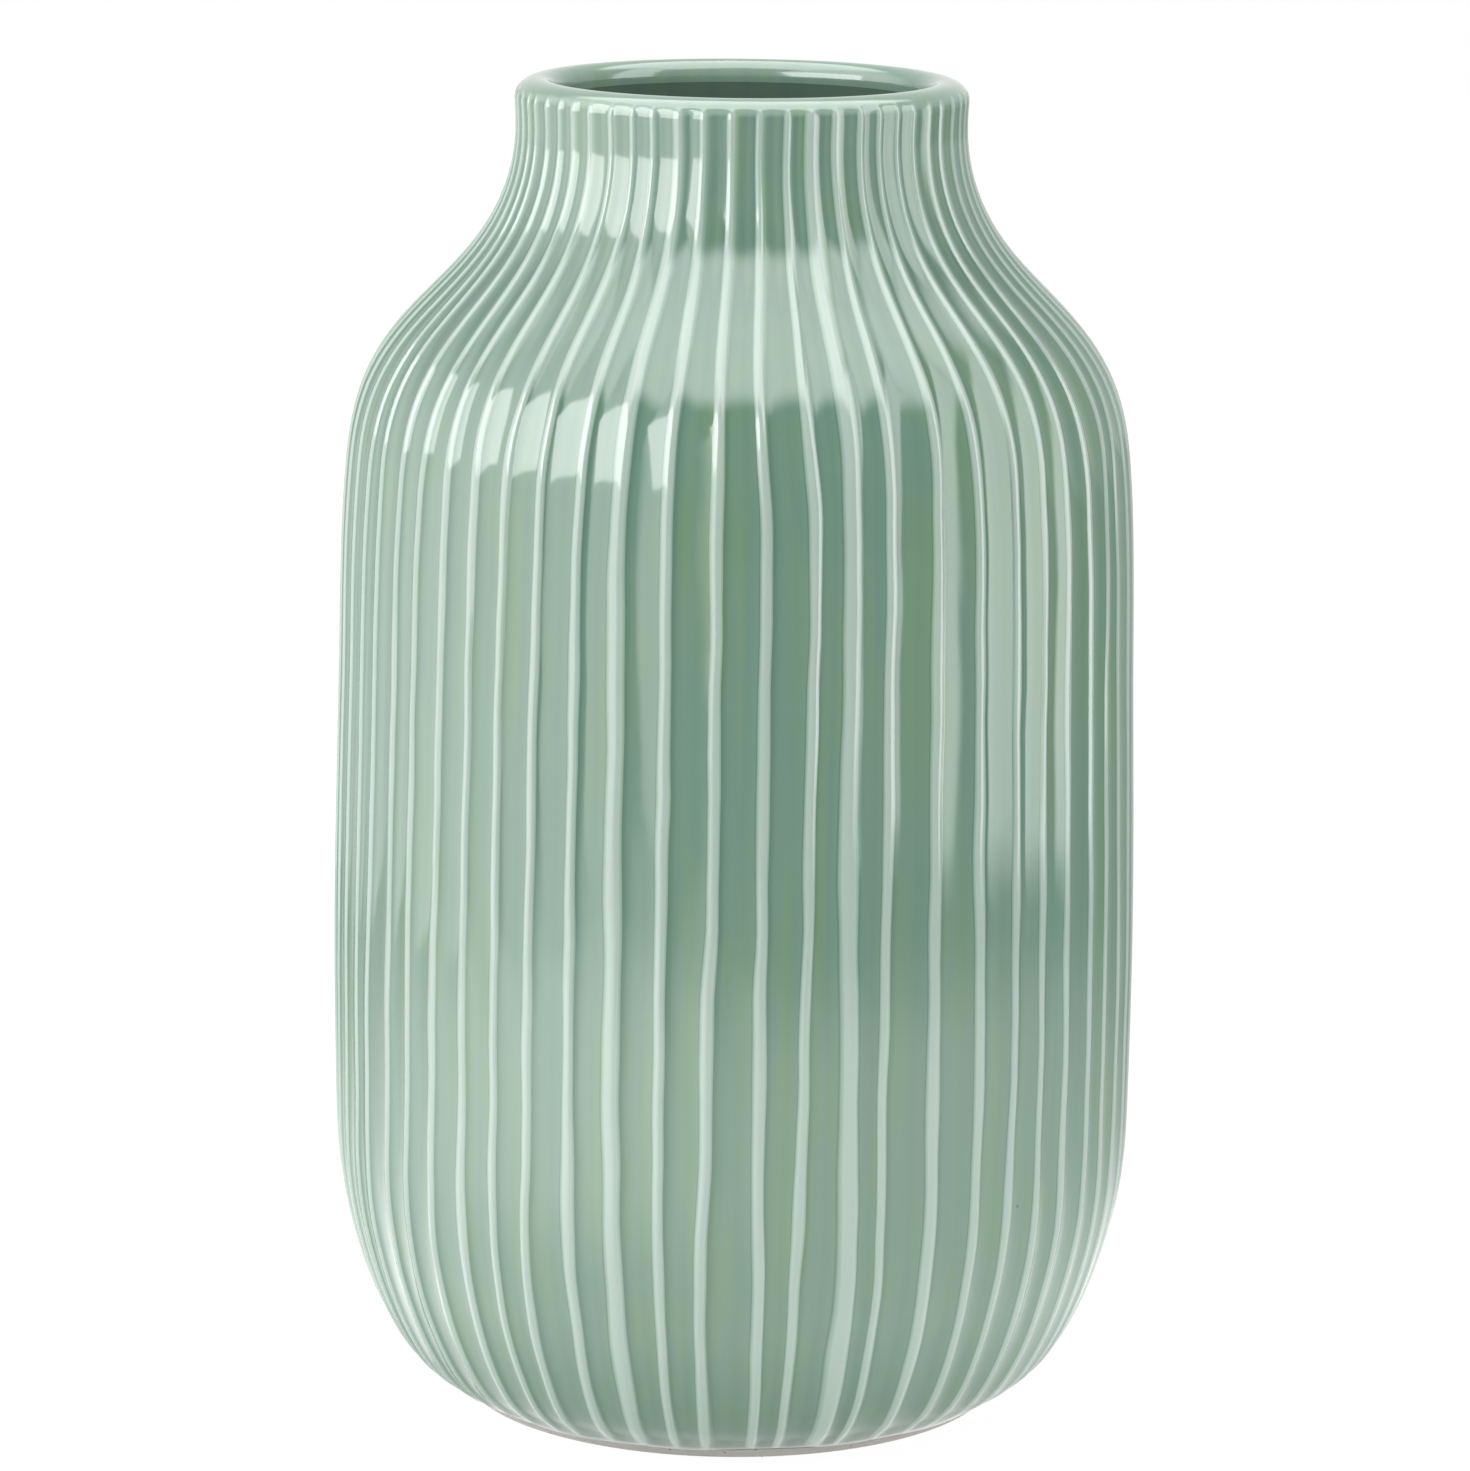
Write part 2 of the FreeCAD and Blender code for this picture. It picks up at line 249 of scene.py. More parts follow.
def ridge_place(ridge, z):
    """Where a ridge stands, in flute widths from the front."""
    if ridge < first_seen_ridge:
        return ridge_place(ridge + flute_count, z) - flute_count
    if ridge <= last_seen_ridge:
        return ridge + drift_at(drift_shares[ridge - first_seen_ridge], z)
    behind = (ridge - last_seen_ridge) / (first_seen_ridge + flute_count - last_seen_ridge)
    joining = mix(drift_at(drift_shares[-1], z), drift_at(drift_shares[0], z), behind)
    waver = math.sin(2.4 * ridge) + 0.6 * math.sin(2 * math.pi * z / height + 1.7 * ridge)
    return ridge + joining + unseen_waver * waver * math.sin(math.pi * behind)


print("ridge 0 stands at", [round(ridge_place(0, z * mm), 2) for z in (40, 120, 200)])

# %% [markdown]
# ## Guide lines for the carver
#
# The ridges become a mesh of guide lines, one line up the wall for each ridge. Each point carries
# what the carving needs to know there: the ridge's place and half width, the ring's radius, height
# and outward direction, and how much of the carving is left. That share is less on the narrow neck,
# where flutes crowd, and fades to nothing in a short way at the lip and at the glaze line.
#
# Keeping these as named attributes means that the next step can be a rule and nothing else.

# %% Build the guide lines
ridge_rise, hollow_depth = 0.42 * mm, 0.32 * mm
ridge_share = 0.13
wide_ridge_shares = {-2: 0.19, 3: 0.24}
plain_below_lip, whole_below_lip = 1.3 * mm, 2.9 * mm
plain_up_to, whole_from = 2.1 * mm, 5.5 * mm
neck_depth_share = 0.6


def carved_share(z, is_inside):
    """1 where the flutes are whole, 0 on the plain bands at the lip and the foot."""
    if is_inside:
        return 0.0
    under_lip = smooth_step(plain_below_lip, whole_below_lip, height - z)
    return under_lip * smooth_step(plain_up_to, whole_from, z)


def depth_share(radius):
    """Flutes are shallower on the narrow neck than on the belly."""
    share = (radius - neck_radius) / (belly_radius - neck_radius)
    return mix(neck_depth_share, 1.0, min(1.0, max(0.0, share)))


ridges = range(-flute_count // 2, flute_count // 2 + 1)
crown_row = len(rows) - len(inner_round) - 1
guide_values = {name: [] for name in (
    "place", "half", "radius", "level", "out_r", "out_z", "carved", "depth",
)}
guide_points = []
for ridge in ridges:
    for i, (radius, z, out_r, out_z) in enumerate(rows):
        place = ridge_place(ridge, z)
        bearing = 2 * math.pi / flute_count * place
        guide_points.append((radius * math.sin(bearing), -radius * math.cos(bearing), z))
        carved = carved_share(z, i >= crown_row)
        half = wide_ridge_shares.get(ridge, ridge_share)
        values = (place, half, radius, z, out_r, out_z, carved, carved * depth_share(radius))
        for name, value in zip(guide_values, values):
            guide_values[name].append(value)

guide_edges = [
    (column * len(rows) + i, column * len(rows) + i + 1)
    for column in range(len(ridges)) for i in range(len(rows) - 1)
]
guide_mesh = bpy.data.meshes.new("ridge_lines")
guide_mesh.from_pydata(guide_points, guide_edges, [])
for name, values in guide_values.items():
    guide_mesh.attributes.new(name, "FLOAT", "POINT").data.foreach_set("value", values)
fluted_glaze = bpy.data.objects.new("fluted_glaze", guide_mesh)
bpy.context.scene.collection.objects.link(fluted_glaze)
print("guide lines:", len(ridges), "points:", len(guide_points))

# %% [markdown]
# ## Small helpers for node trees
#
# Geometry Nodes and materials are both made of nodes that are joined by links. Three helpers keep
# the recipes below readable: one adds a node and fills its inputs, the others do arithmetic.

# %% Helpers: add a node, do arithmetic
def put(tree, kind, inputs=None, **settings):
    """Adds a node. An input that is given a socket is linked, any other value is set."""
    node = tree.nodes.new(kind)
    for name, value in settings.items():
        setattr(node, name, value)
    for place, value in (inputs or {}).items():
        if isinstance(value, bpy.types.NodeSocket):
            tree.links.new(value, node.inputs[place])
        else:
            node.inputs[place].default_value = value
    return node


def calc(tree, operation, *values, clamp=False):
    """One step of arithmetic. Returns its result."""
    node = put(tree, "ShaderNodeMath", dict(enumerate(values)), operation=operation, use_clamp=clamp)
    return node.outputs[0]


def blend_of(tree, share, a, b):
    """The number that lies this share of the way from a to b."""
    return calc(tree, "ADD", a, calc(tree, "MULTIPLY", share, calc(tree, "SUBTRACT", b, a)))


print("helpers:", put.__name__, calc.__name__, blend_of.__name__)

# %% [markdown]
# ## Carve the flutes with Geometry Nodes
#
# One rule makes sixty flutes, so this main piece is made by a node tree and not by hand. The tree
# lays a grid with a column for every guide line and several more between each two. It reads the
# guide lines on both sides of a column and then sets each point in place.
#
# Across a flute the section is a shallow bowl with a raised, soft ridge at each side. The ridge
# falls off in an even S, so the light runs over it without a crease. A bowl this flat mirrors a
# window as one broad patch, which is how the flutes of the real vase can be told to be shallow.
#
# The tree also stores how deep the glaze lies at each point, because its colour will follow that.

# %% The carving tree and its inputs
columns_each, carving_seed = 12, 7.0
carving = bpy.data.node_groups.new("carve_flutes", "GeometryNodeTree")
reckon = partial(calc, carving)
for name, kind, value in (
    ("Ridge Lines", "Geometry", None), ("Flutes", "Int", flute_count),
    ("Columns Each", "Int", columns_each), ("Rows", "Int", len(rows)),
    ("Ridge Rise", "Float", ridge_rise), ("Hollow Depth", "Float", hollow_depth),
    ("Ridge Columns", "Float", 0.25), ("Uneven Hollow", "Float", 1.0),
    ("Tool Waves", "Float", 0.10 * mm), ("Pool On Plain", "Float", 0.80),
    ("Skew", "Float", 0.72), ("Sharp Side", "Float", 0.85),
    ("Soft Side", "Float", 1.35), ("Hand Tremor", "Float", 0.15),
    ("Ridge Swell", "Float", 0.9), ("Crowded Pool", "Float", 0.69),
    ("Pool At Foot", "Float", 0.95), ("Seed", "Float", carving_seed), ("Glaze", "Material", None),
):
    socket = carving.interface.new_socket(name=name, in_out="INPUT", socket_type="NodeSocket" + kind)
    if value is not None:
        socket.default_value = value
carving.interface.new_socket(name="Fluted Wall", in_out="OUTPUT", socket_type="NodeSocketGeometry")
given = put(carving, "NodeGroupInput").outputs
print("inputs of the carving tree:", [socket.name for socket in given if socket.name])

# %% [markdown]
# The tree lays its grid and works out for each point its column and its row, and with them which
# two ridges stand beside it. What the guide lines note is on another mesh, so the tree samples it
# there, by the number of the guide point that it wants.

# %% The grid, and how it reads the guide lines
columns = reckon("ADD", reckon("MULTIPLY", given["Flutes"], given["Columns Each"]), 1.0)
sheet = put(carving, "GeometryNodeMeshGrid", {"Vertices X": columns, "Vertices Y": given["Rows"]})
index = put(carving, "GeometryNodeInputIndex").outputs[0]


def whole(operation, a, b):
    """Arithmetic on whole numbers, for counting columns and rows."""
    return put(carving, "FunctionNodeIntegerMath", {0: a, 1: b}, operation=operation).outputs[0]


column = whole("DIVIDE_FLOOR", index, given["Rows"])
row = whole("MODULO", index, given["Rows"])
left_ridge = whole("DIVIDE_FLOOR", column, given["Columns Each"])
right_ridge = whole("MINIMUM", whole("ADD", left_ridge, 1), given["Flutes"])
left_point = whole("ADD", whole("MULTIPLY", left_ridge, given["Rows"]), row)
right_point = whole("ADD", whole("MULTIPLY", right_ridge, given["Rows"]), row)


def noted(name, point):
    """What a guide line notes at one of its points."""
    value = put(carving, "GeometryNodeInputNamedAttribute", {"Name": name}, data_type="FLOAT").outputs[0]
    reading = {"Geometry": given["Ridge Lines"], "Value": value, "Index": point}
    return put(carving, "GeometryNodeSampleIndex", reading, data_type="FLOAT", domain="POINT").outputs[0]


level = noted("level", left_point)
print("the grid has", columns_each, "columns for each flute")

# %% [markdown]
# The hand trembled: along its way up, a ridge sways a little and thickens here and there. Noise that
# runs along each ridge does both. The potter also held the tool a little askew, so each ridge falls
# off sharply on its right and softly on its left, and a hollow is deepest left of its middle.
#
# The share of the way across a flute grows with the column. A quarter of the columns lies on the
# ridge at each side, the rest in the hollow. Two numbers come from it: how far the ridge has fallen
# off, and how much of the hollow's depth is reached. Both go from 0 to 1.

# %% Ridges that tremble and swell
lane_step, sway_lane, sway_pace = 3.7, 0.5, 45.0
swell_lane, swell_pace, swell_from = 1.9, 30.0, 0.45


def along(ridge, lane, pace):
    """Noise from 0 to 1 along a ridge. The first ridge and the last are one and get the same."""
    which = reckon("MULTIPLY", whole("MODULO", ridge, given["Flutes"]), lane_step)
    spot = put(carving, "ShaderNodeCombineXYZ", {
        0: reckon("ADD", which, lane), 1: reckon("MULTIPLY", level, pace), 2: given["Seed"],
    })
    inputs = {"Vector": spot.outputs[0], "Scale": 1.0, "Detail": 1.0}
    return put(carving, "ShaderNodeTexNoise", inputs).outputs[0]


def trembled(ridge, point):
    """The place of a ridge with the sway of the hand."""
    sway = reckon("SUBTRACT", along(ridge, sway_lane, sway_pace), 0.5)
    return reckon("ADD", noted("place", point), reckon("MULTIPLY", sway, given["Hand Tremor"]))


def swollen(ridge, point, side):
    """The half width of a ridge on one side, which is wider where the hand pressed less."""
    more = reckon("MAXIMUM", reckon("SUBTRACT", along(ridge, swell_lane, swell_pace), swell_from), 0.0)
    more = reckon("ADD", 1.0, reckon("MULTIPLY", more, given["Ridge Swell"]))
    return reckon("MULTIPLY", reckon("MULTIPLY", noted("half", point), given[side]), more)


left_half = swollen(left_ridge, left_point, "Sharp Side")
right_half = swollen(right_ridge, right_point, "Soft Side")
print("half widths of ridges:", sorted({ridge_share, *wide_ridge_shares.values()}))

# %% Section of a flute
ridge_part = given["Ridge Columns"]
step_share = reckon("DIVIDE", whole("MODULO", column, given["Columns Each"]), given["Columns Each"])
over_left = reckon("DIVIDE", step_share, ridge_part, clamp=True)
from_right = reckon("DIVIDE", reckon("SUBTRACT", 1.0, step_share), ridge_part, clamp=True)
over_right = reckon("SUBTRACT", 1.0, from_right)
hollow_part = reckon("SUBTRACT", 1.0, reckon("MULTIPLY", 2.0, ridge_part))
hollow_share = reckon("DIVIDE", reckon("SUBTRACT", step_share, ridge_part), hollow_part, clamp=True)
hollow_width = reckon("SUBTRACT", reckon("SUBTRACT", 1.0, left_half), right_half)
in_hollow = reckon("MULTIPLY", hollow_share, hollow_width)
in_hollow_or_right = reckon("ADD", in_hollow, reckon("MULTIPLY", over_right, right_half))
across = reckon("ADD", reckon("MULTIPLY", over_left, left_half), in_hollow_or_right)

nearest = reckon("MINIMUM", over_left, from_right)
even_s = reckon("SUBTRACT", 3.0, reckon("MULTIPLY", 2.0, nearest))
fallen = reckon("MULTIPLY", reckon("MULTIPLY", nearest, nearest), even_s)
skewed = reckon("POWER", hollow_share, given["Skew"])
bowl = reckon("MULTIPLY", reckon("SUBTRACT", 1.0, skewed), skewed)
hollowed = reckon("MULTIPLY", bowl, 4.0)
print("nodes for the section:", len(carving.nodes))

# %% [markdown]
# The section is cut into the wall along its outward direction. Two noises are added to the hollow:
# a slow one along each flute, and fine waves that a hand leaves when it pulls the tool in strokes.
# Both only change the depth inside a flute, so the ridges keep the measured outline.

# %% Set every point in place
noise_per_flute, noise_per_metre = 0.55, 14.0
place = blend_of(carving, across, trembled(left_ridge, left_point), trembled(right_ridge, right_point))
bearing = reckon("MULTIPLY", place, 2 * math.pi / flute_count)
spot = put(carving, "ShaderNodeCombineXYZ", {
    0: reckon("MULTIPLY", place, noise_per_flute), 1: reckon("MULTIPLY", level, noise_per_metre),
    2: given["Seed"],
}).outputs[0]
slow = put(carving, "ShaderNodeTexNoise", {"Vector": spot, "Scale": 1.0, "Detail": 2.0}).outputs[0]
fast = put(carving, "ShaderNodeTexNoise", {"Vector": spot, "Scale": 5.0, "Detail": 1.0}).outputs[0]
unevenness = reckon("MULTIPLY", given["Uneven Hollow"], reckon("SUBTRACT", slow, 0.5))
uneven = reckon("ADD", 1.0, unevenness)
ridge_cut = reckon("MULTIPLY", given["Ridge Rise"], fallen)
hollow_cut = reckon("MULTIPLY", reckon("MULTIPLY", given["Hollow Depth"], hollowed), uneven)
waves = reckon("MULTIPLY", reckon("SUBTRACT", fast, 0.5), given["Tool Waves"])
waves = reckon("MULTIPLY", waves, fallen)
cut = reckon("ADD", reckon("ADD", ridge_cut, hollow_cut), waves)
inset = reckon("MAXIMUM", reckon("MULTIPLY", noted("depth", left_point), cut), 0.0)
cut_inwards = reckon("MULTIPLY", inset, noted("out_r", left_point))
radius = reckon("SUBTRACT", noted("radius", left_point), cut_inwards)
position = put(carving, "ShaderNodeCombineXYZ", {
    0: reckon("MULTIPLY", radius, reckon("SINE", bearing)),
    1: reckon("MULTIPLY", radius, reckon("MULTIPLY", -1.0, reckon("COSINE", bearing))),
    2: reckon("SUBTRACT", level, reckon("MULTIPLY", inset, noted("out_z", left_point))),
}).outputs[0]
placing = {"Geometry": sheet.outputs["Mesh"], "Position": position}
placed = put(carving, "GeometryNodeSetPosition", placing)
print("nodes with the cuts:", len(carving.nodes))

# %% [markdown]
# The depth of the glaze goes from 0 on a ridge to 1 in a flute. At the left foot of each hollow, where
# the section turns up, it is set a little less, where the glaze colours are darkest: a painted shade
# line beside each ridge. It is less on the neck, where the flutes crowd. The plain bands have one
# depth each, and it is greater at the foot, where the melt ran down and gathered.

# %% Store how deep the glaze lies, and end the tree
foot_zone, shade_line_pool, weld_distance = 20 * mm, 0.9, 0.002 * mm
# At the left foot of each hollow the depth is 0.9, the darkest glaze colour: a painted shade line.
past_edge = reckon("MAXIMUM", hollowed, hollow_share)
pool_with_shade_line = reckon("ADD", shade_line_pool, reckon("MULTIPLY", past_edge, 1 - shade_line_pool))
crowding = blend_of(carving, noted("depth", left_point), given["Crowded Pool"], 1.0)
deep = reckon("MULTIPLY", reckon("MULTIPLY", fallen, pool_with_shade_line), crowding)
at_foot = reckon("LESS_THAN", level, foot_zone)
plain_pool = blend_of(carving, at_foot, given["Pool On Plain"], given["Pool At Foot"])
pool = blend_of(carving, noted("carved", left_point), plain_pool, deep)
marked = put(
    carving, "GeometryNodeStoreNamedAttribute",
    {"Geometry": placed.outputs[0], "Name": "pool", "Value": pool}, data_type="FLOAT", domain="POINT",
)
seam = {"Geometry": marked.outputs[0], "Distance": weld_distance}
closed = put(carving, "GeometryNodeMergeByDistance", seam)
smooth = put(carving, "GeometryNodeSetShadeSmooth", {"Geometry": closed.outputs[0]})
real = put(carving, "GeometryNodeRealizeInstances", {"Geometry": smooth.outputs[0]})
finish_of_wall = {"Geometry": real.outputs[0], "Material": given["Glaze"]}
glazed = put(carving, "GeometryNodeSetMaterial", finish_of_wall)
put(carving, "NodeGroupOutput", {0: glazed.outputs[0]})
print("nodes in the carving tree:", len(carving.nodes))

# %% [markdown]
# ## What celadon does
#
# Celadon is a thick, clear, green-grey glass over pale clay. Its colour comes from its depth: on a
# ridge it is so thin that the clay shines through, and in a flute it is deep and green. So the
# colour follows the stored depth, and not a picture. It goes from pale to green, and is darkest in a
# narrow line beside each ridge, which is painted shade.
#
# The melt also ran a little before it froze. Fine streaks that are long up the wall and a slow
# cloudiness break the colour, small pinholes dot it, and the surface is a glossy skin with a very
# slight waver, which is what makes the reflected windows look soft and alive.
#
# First come a few helpers that all finishes share: a colour ramp, noise in the piece's own
# coordinates, one colour over another, and a new material.

# %% Helpers for finishes
def colour_stops(tree, share, stops):
    """A colour ramp: colours at shares from 0 to 1."""
    node = put(tree, "ShaderNodeValToRGB", {"Fac": share})
    ramp = node.color_ramp
    while len(ramp.elements) < len(stops):
        ramp.elements.new(0.5)
    for element, (where, colour) in zip(ramp.elements, stops):
        element.position = where
        element.color = (*colour, 1)
    return node.outputs[0]


def stretched(tree, scales):
    """The object's own coordinates, scaled along x, y and z."""
    where = put(tree, "ShaderNodeTexCoord").outputs["Object"]
    return put(tree, "ShaderNodeMapping", {"Vector": where, "Scale": scales}).outputs[0]


def noise(tree, scales, scale, detail=3.0):
    """Noise from 0 to 1 in the object's own coordinates. A scale under 1 draws it out that way."""
    inputs = {"Vector": stretched(tree, scales), "Scale": scale, "Detail": detail}
    return put(tree, "ShaderNodeTexNoise", inputs).outputs[0]


def dots(tree, count, size):
    """1 inside scattered dots and 0 between them, and a colour by chance for each dot."""
    cells = put(tree, "ShaderNodeTexVoronoi", {"Vector": stretched(tree, (1, 1, 1)), "Scale": count})
    return calc(tree, "LESS_THAN", cells.outputs["Distance"], size), cells.outputs["Color"]


def tinted(tree, share, colour, other, way="MIX"):
    """A colour with this share of another one over it."""
    inputs = {0: share, 6: colour, 7: other}
    return put(tree, "ShaderNodeMix", inputs, data_type="RGBA", blend_type=way).outputs[2]


def empty_finish(name):
    """A material with an empty tree."""
    finish = bpy.data.materials.new(name)
    finish.use_nodes = True
    finish.node_tree.nodes.clear()
    return finish, finish.node_tree


def new_finish(name):
    """A material with a shader and its output."""
    finish, tree = empty_finish(name)
    shader = put(tree, "ShaderNodeBsdfPrincipled")
    put(tree, "ShaderNodeOutputMaterial", {"Surface": shader.outputs[0]})
    return finish, tree, shader


print("helpers:", colour_stops.__name__, noise.__name__, tinted.__name__, new_finish.__name__)

# %% [markdown]
# The glaze itself follows. Streaks and clouds change its depth, most where it is thin. Fine and slow
# runs tint the green where it is deep: cooler where the melt is clear, yellower where it holds more
# iron. Each noise has its scales along x, y and z, its own scale, and sometimes its detail.

# %% The celadon glaze
# The stop at 0.90 is darker than the deepest glaze: it paints the shade line beside each ridge.
glaze_colours_with_shade_line = (
    (0.00, (0.393, 0.508, 0.444)),
    (0.54, (0.388, 0.518, 0.442)),
    (0.80, (0.250, 0.384, 0.300)),
    (0.90, (0.078, 0.180, 0.122)),
    (0.95, (0.106, 0.224, 0.153)),
    (0.985, (0.129, 0.251, 0.173)),
    (1.00, (0.134, 0.256, 0.177)),
)
melt_tints = ((0.38, (0.93, 0.98, 1.05)), (0.50, (1.0, 1.0, 1.0)), (0.62, (1.02, 1.03, 0.86)))
thin_streaks, thin_clouds = ((1, 1, 0.08), 260), ((1, 1, 0.6), 22)
thinning, no_thinning_at = 0.12, 1.15
melt_streaks, melt_clouds = ((1, 1, 0.04), 330, 2.0), ((1, 1, 0.22), 55, 2.0)
fine_run_share, slow_run_share = 0.8, 0.55
pinhole_count, pinhole_kept_above, pinhole_size, pinhole_depth = 95.0, 0.93, 0.035, 0.8
pinhole_colour = (0.09, 0.10, 0.08, 1)
skin_grain, skin_swell = ((1, 1, 1), 420, 2.0), ((1, 1, 0.5), 90, 2.0)
least_roughness, more_roughness = 0.05, 0.07
skin_bump, skin_relief, glass_ior = 0.10, 0.4 * mm, 1.6


def celadon(name, pool_of, shade=1.0):
    """A glaze. pool_of gives the socket with its depth, and shade darkens all its colours as painted
    shade.
    """
    finish, tree, shader = new_finish(name)
    work_out = partial(calc, tree)
    pool = pool_of(tree)
    by_streaks = work_out("MULTIPLY", work_out("SUBTRACT", noise(tree, *thin_streaks), 0.5), thinning)
    by_clouds = work_out("MULTIPLY", work_out("SUBTRACT", noise(tree, *thin_clouds), 0.5), thinning)
    on_ridge = work_out("SUBTRACT", no_thinning_at, pool)
    thinned = work_out("MULTIPLY", work_out("ADD", by_streaks, by_clouds), on_ridge)
    pool = work_out("ADD", pool, thinned)
    stops = [(share, [part * shade for part in colour]) for share, colour in glaze_colours_with_shade_line]
    colour = colour_stops(tree, pool, stops)
    fine_runs = work_out("SUBTRACT", noise(tree, *melt_streaks), 0.5)
    slow_runs = blend_of(tree, slow_run_share, 0.5, noise(tree, *melt_clouds))
    runs = work_out("ADD", work_out("MULTIPLY", fine_runs, fine_run_share), slow_runs)
    iron = colour_stops(tree, runs, melt_tints)
    colour = tinted(tree, work_out("MULTIPLY", pool, pool, clamp=True), colour, iron, "MULTIPLY")

    hole, chance = dots(tree, pinhole_count, pinhole_size)
    chance = put(tree, "ShaderNodeSeparateColor", {0: chance}).outputs[0]
    dot = work_out("MULTIPLY", work_out("GREATER_THAN", chance, pinhole_kept_above), hole)
    tree.links.new(tinted(tree, dot, colour, pinhole_colour), shader.inputs["Base Color"])

    grain = work_out("MULTIPLY", noise(tree, *skin_grain), more_roughness)
    tree.links.new(work_out("ADD", least_roughness, grain), shader.inputs["Roughness"])
    relief = work_out("SUBTRACT", noise(tree, *skin_swell), work_out("MULTIPLY", dot, pinhole_depth))
    bump_inputs = {"Strength": skin_bump, "Distance": skin_relief, "Height": relief}
    bump = put(tree, "ShaderNodeBump", bump_inputs)
    tree.links.new(bump.outputs[0], shader.inputs["Normal"])
    shader.inputs["IOR"].default_value = glass_ior
    return finish


def stored_pool(tree):
    """The depth that is stored on the mesh."""
    return put(tree, "ShaderNodeAttribute", attribute_name="pool").outputs["Fac"]


outside_glaze = celadon("celadon_outside", stored_pool)
print("made", outside_glaze.name, "with", len(outside_glaze.node_tree.nodes), "nodes")

# %% [markdown]
# ## Make the fluted wall a plain mesh
#
# The tree runs as a modifier. Its inputs are set first, by the identifier that each socket has. The
# finished shape is then copied into a plain mesh and the modifier goes, because the rest of the
# work wants real faces.

# %% Run the tree and keep its result
def set_inputs(modifier, **values):
    """Sets a modifier's inputs by name, through each socket's identifier."""
    for item in modifier.node_group.interface.items_tree:
        key = item.name.replace(" ", "_").lower()
        if item.item_type == "SOCKET" and item.in_out == "INPUT" and key in values:
            modifier[item.identifier] = values[key]


def as_plain_mesh(piece):
    """Replaces a piece's mesh with its evaluated shape and removes its modifiers."""
    bpy.context.view_layer.update()
    made = bpy.data.meshes.new_from_object(piece.evaluated_get(bpy.context.evaluated_depsgraph_get()))
    piece.modifiers.clear()
    piece.data = made
    made.name = piece.name


carver = fluted_glaze.modifiers.new("carve_flutes", "NODES")
carver.node_group = carving
set_inputs(carver, glaze=outside_glaze, columns_each=columns_each, rows=len(rows), seed=carving_seed)
as_plain_mesh(fluted_glaze)
wall_mesh = fluted_glaze.data
wall_mesh.calc_loop_triangles()
print("fluted wall:", len(wall_mesh.vertices), "points,", len(wall_mesh.loop_triangles), "triangles")

# %% [markdown]
# The bottom of the sheet is still an open edge. Melted glaze stops above the foot in a small, rounded
# roll that wavers a little. So the lowest points are lifted by a slow wave round the foot, and two
# more rows turn in to the clay.

# %% Turn the bottom edge in to the clay
roll_shares = ((0.35, 0.20), (1.0, -0.1))
waver_height, waver_up_to, waver_from = 0.5 * mm, 3.5 * mm, 1.5 * mm


def roll_in_bottom(piece, thickness):
    """Adds two rows under the lowest one, which turn in to the clay behind the glaze."""
    work = bmesh.new()
    work.from_mesh(piece.data)
    lowest = [edge for edge in work.edges if edge.is_boundary and edge.verts[0].co.z < foot_zone]
    for inward, drop in roll_shares:
        grown = bmesh.ops.extrude_edge_only(work, edges=lowest)["geom"]
        lowest = [part for part in grown if isinstance(part, bmesh.types.BMEdge)]
        for point in (part for part in grown if isinstance(part, bmesh.types.BMVert)):
            level = point.co.copy()
            level.z = 0
            point.co -= level.normalized() * thickness * inward
            point.co.z -= thickness * drop
    bmesh.ops.recalc_face_normals(work, faces=work.faces)
    work.to_mesh(piece.data)
    work.free()


for point in fluted_glaze.data.vertices:
    if point.co.z < waver_up_to:
        bearing_here = math.atan2(point.co.x, -point.co.y)
        waver = 0.5 + 0.3 * math.sin(5 * bearing_here + 1) + 0.2 * math.sin(13 * bearing_here)
        point.co.z += waver_height * waver * (1 - smooth_step(waver_from, waver_up_to, point.co.z))
roll_in_bottom(fluted_glaze, coat)
lowest_glaze = min(point.co.z for point in fluted_glaze.data.vertices)
print("lowest point of the glaze:", round(lowest_glaze / mm, 2), "mm")

# %% [markdown]
# ## The lining
#
# Inside, the vase is as the wheel left it: a spiral of shallow throwing marks that fingers pulled
# up the wall, glazed over. The outline is turned about the axis, and each point is then moved a
# little in or out along the spiral. The glaze gathers on the floor, so it is deepest there.

# %% The outline of the inside, with rounded corners
def rounded(corners, steps=10):
    """Points along straight runs, with an arc at each corner that has a radius."""
    points = [Vector(corners[0][0])]
    for (before, _), (corner, radius), (after, _) in zip(corners, corners[1:], corners[2:]):
        before, corner, after = Vector(before), Vector(corner), Vector(after)
        going, leaving = (corner - before).normalized(), (after - corner).normalized()
        turn = going.angle(leaving)
        side = math.copysign(1, going.x * leaving.y - going.y * leaving.x)
        start = corner - going * radius * math.tan(turn / 2)
        centre = start + Vector((-going.y, going.x)) * side * radius
        for i in range(steps + 1):
            spin = Matrix.Rotation(side * turn * i / steps, 2)
            points.append(centre + spin @ (start - centre))
    points.append(Vector(corners[-1][0]))
    return points


def filled(points, gap):
    """The same outline with more points on its long runs."""
    full = [points[0]]
    for before, after in zip(points, points[1:]):
        count = max(1, round((after - before).length / gap))
        full += [before.lerp(after, i / count) for i in range(1, count + 1)]
    return full


floor_z, inside_gap = 14 * mm, 1.6 * mm
floor_round, shoulder_round, neck_round = 22 * mm, 32 * mm, 40 * mm
inside_shoulder_share, inside_neck_share = 0.20, 0.75
inside_shoulder_z = mix(shoulder_height, neck_height, inside_shoulder_share)
inside_neck_z = mix(shoulder_height, neck_height, inside_neck_share)
inside_corners = [
    ((0, floor_z), 0), ((belly_radius - wall, floor_z), floor_round),
    ((shoulder_radius - wall, inside_shoulder_z), shoulder_round),
    ((mouth_radius, inside_neck_z), neck_round), ((mouth_radius, mouth_seam_z), 0),
]
inside = filled(rounded(inside_corners), inside_gap)
print("inside outline:", len(inside), "points")

# %% [markdown]
# Turning the outline gives rings of points round the axis, joined by faces, with one point in the
# middle of the floor. The marks are a sine wave along a spiral, faded out at the floor and the mouth.

